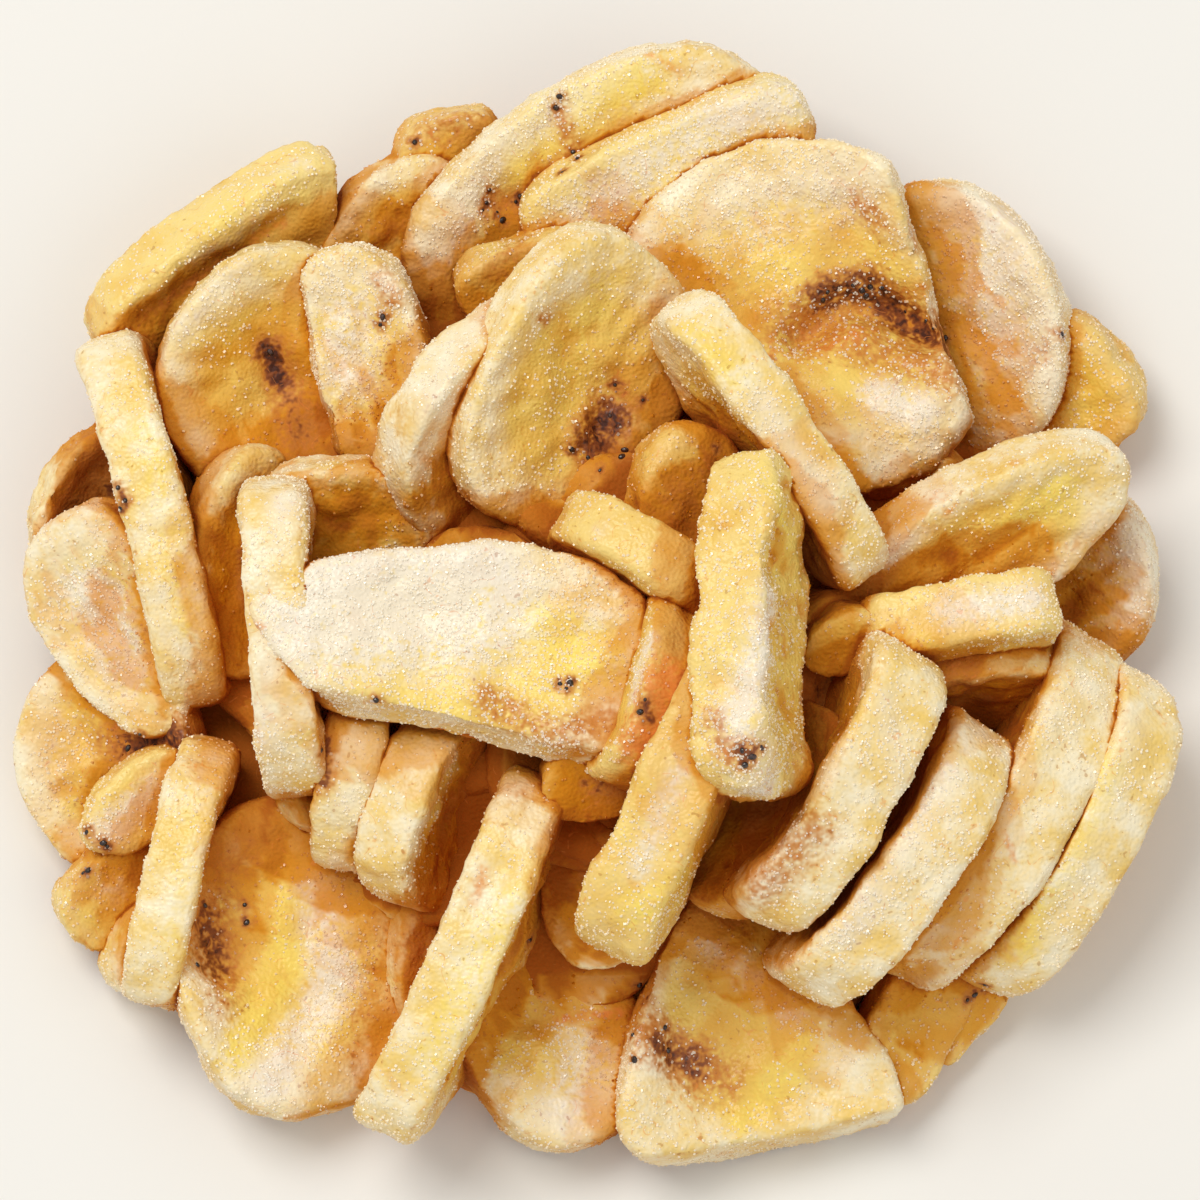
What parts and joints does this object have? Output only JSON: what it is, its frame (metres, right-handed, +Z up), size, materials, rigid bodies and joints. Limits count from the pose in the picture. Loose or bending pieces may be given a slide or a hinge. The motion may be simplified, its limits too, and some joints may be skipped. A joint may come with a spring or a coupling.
{
  "type": "heap of dried banana slices",
  "caption": "Loose round heap of thick dried banana slices with puffed rims, dished faces and brown cores, lying on its flat underside.",
  "frame": {"origin": "middle of the heap's outline, on the surface that it lies on", "axes": "+Z up; +X to the right and +Y away, as seen by somebody standing in front"},
  "size_m": [0.1042, 0.101, 0.037],
  "materials": {
    "dried_banana": "translucent pale yellow dried fruit, cream rims, brown cores, lightly oiled and set with fine sugar grains"
  },
  "bodies": {
    "root": {"slice_heap": "dried_banana"}
  },
  "joints": []
}
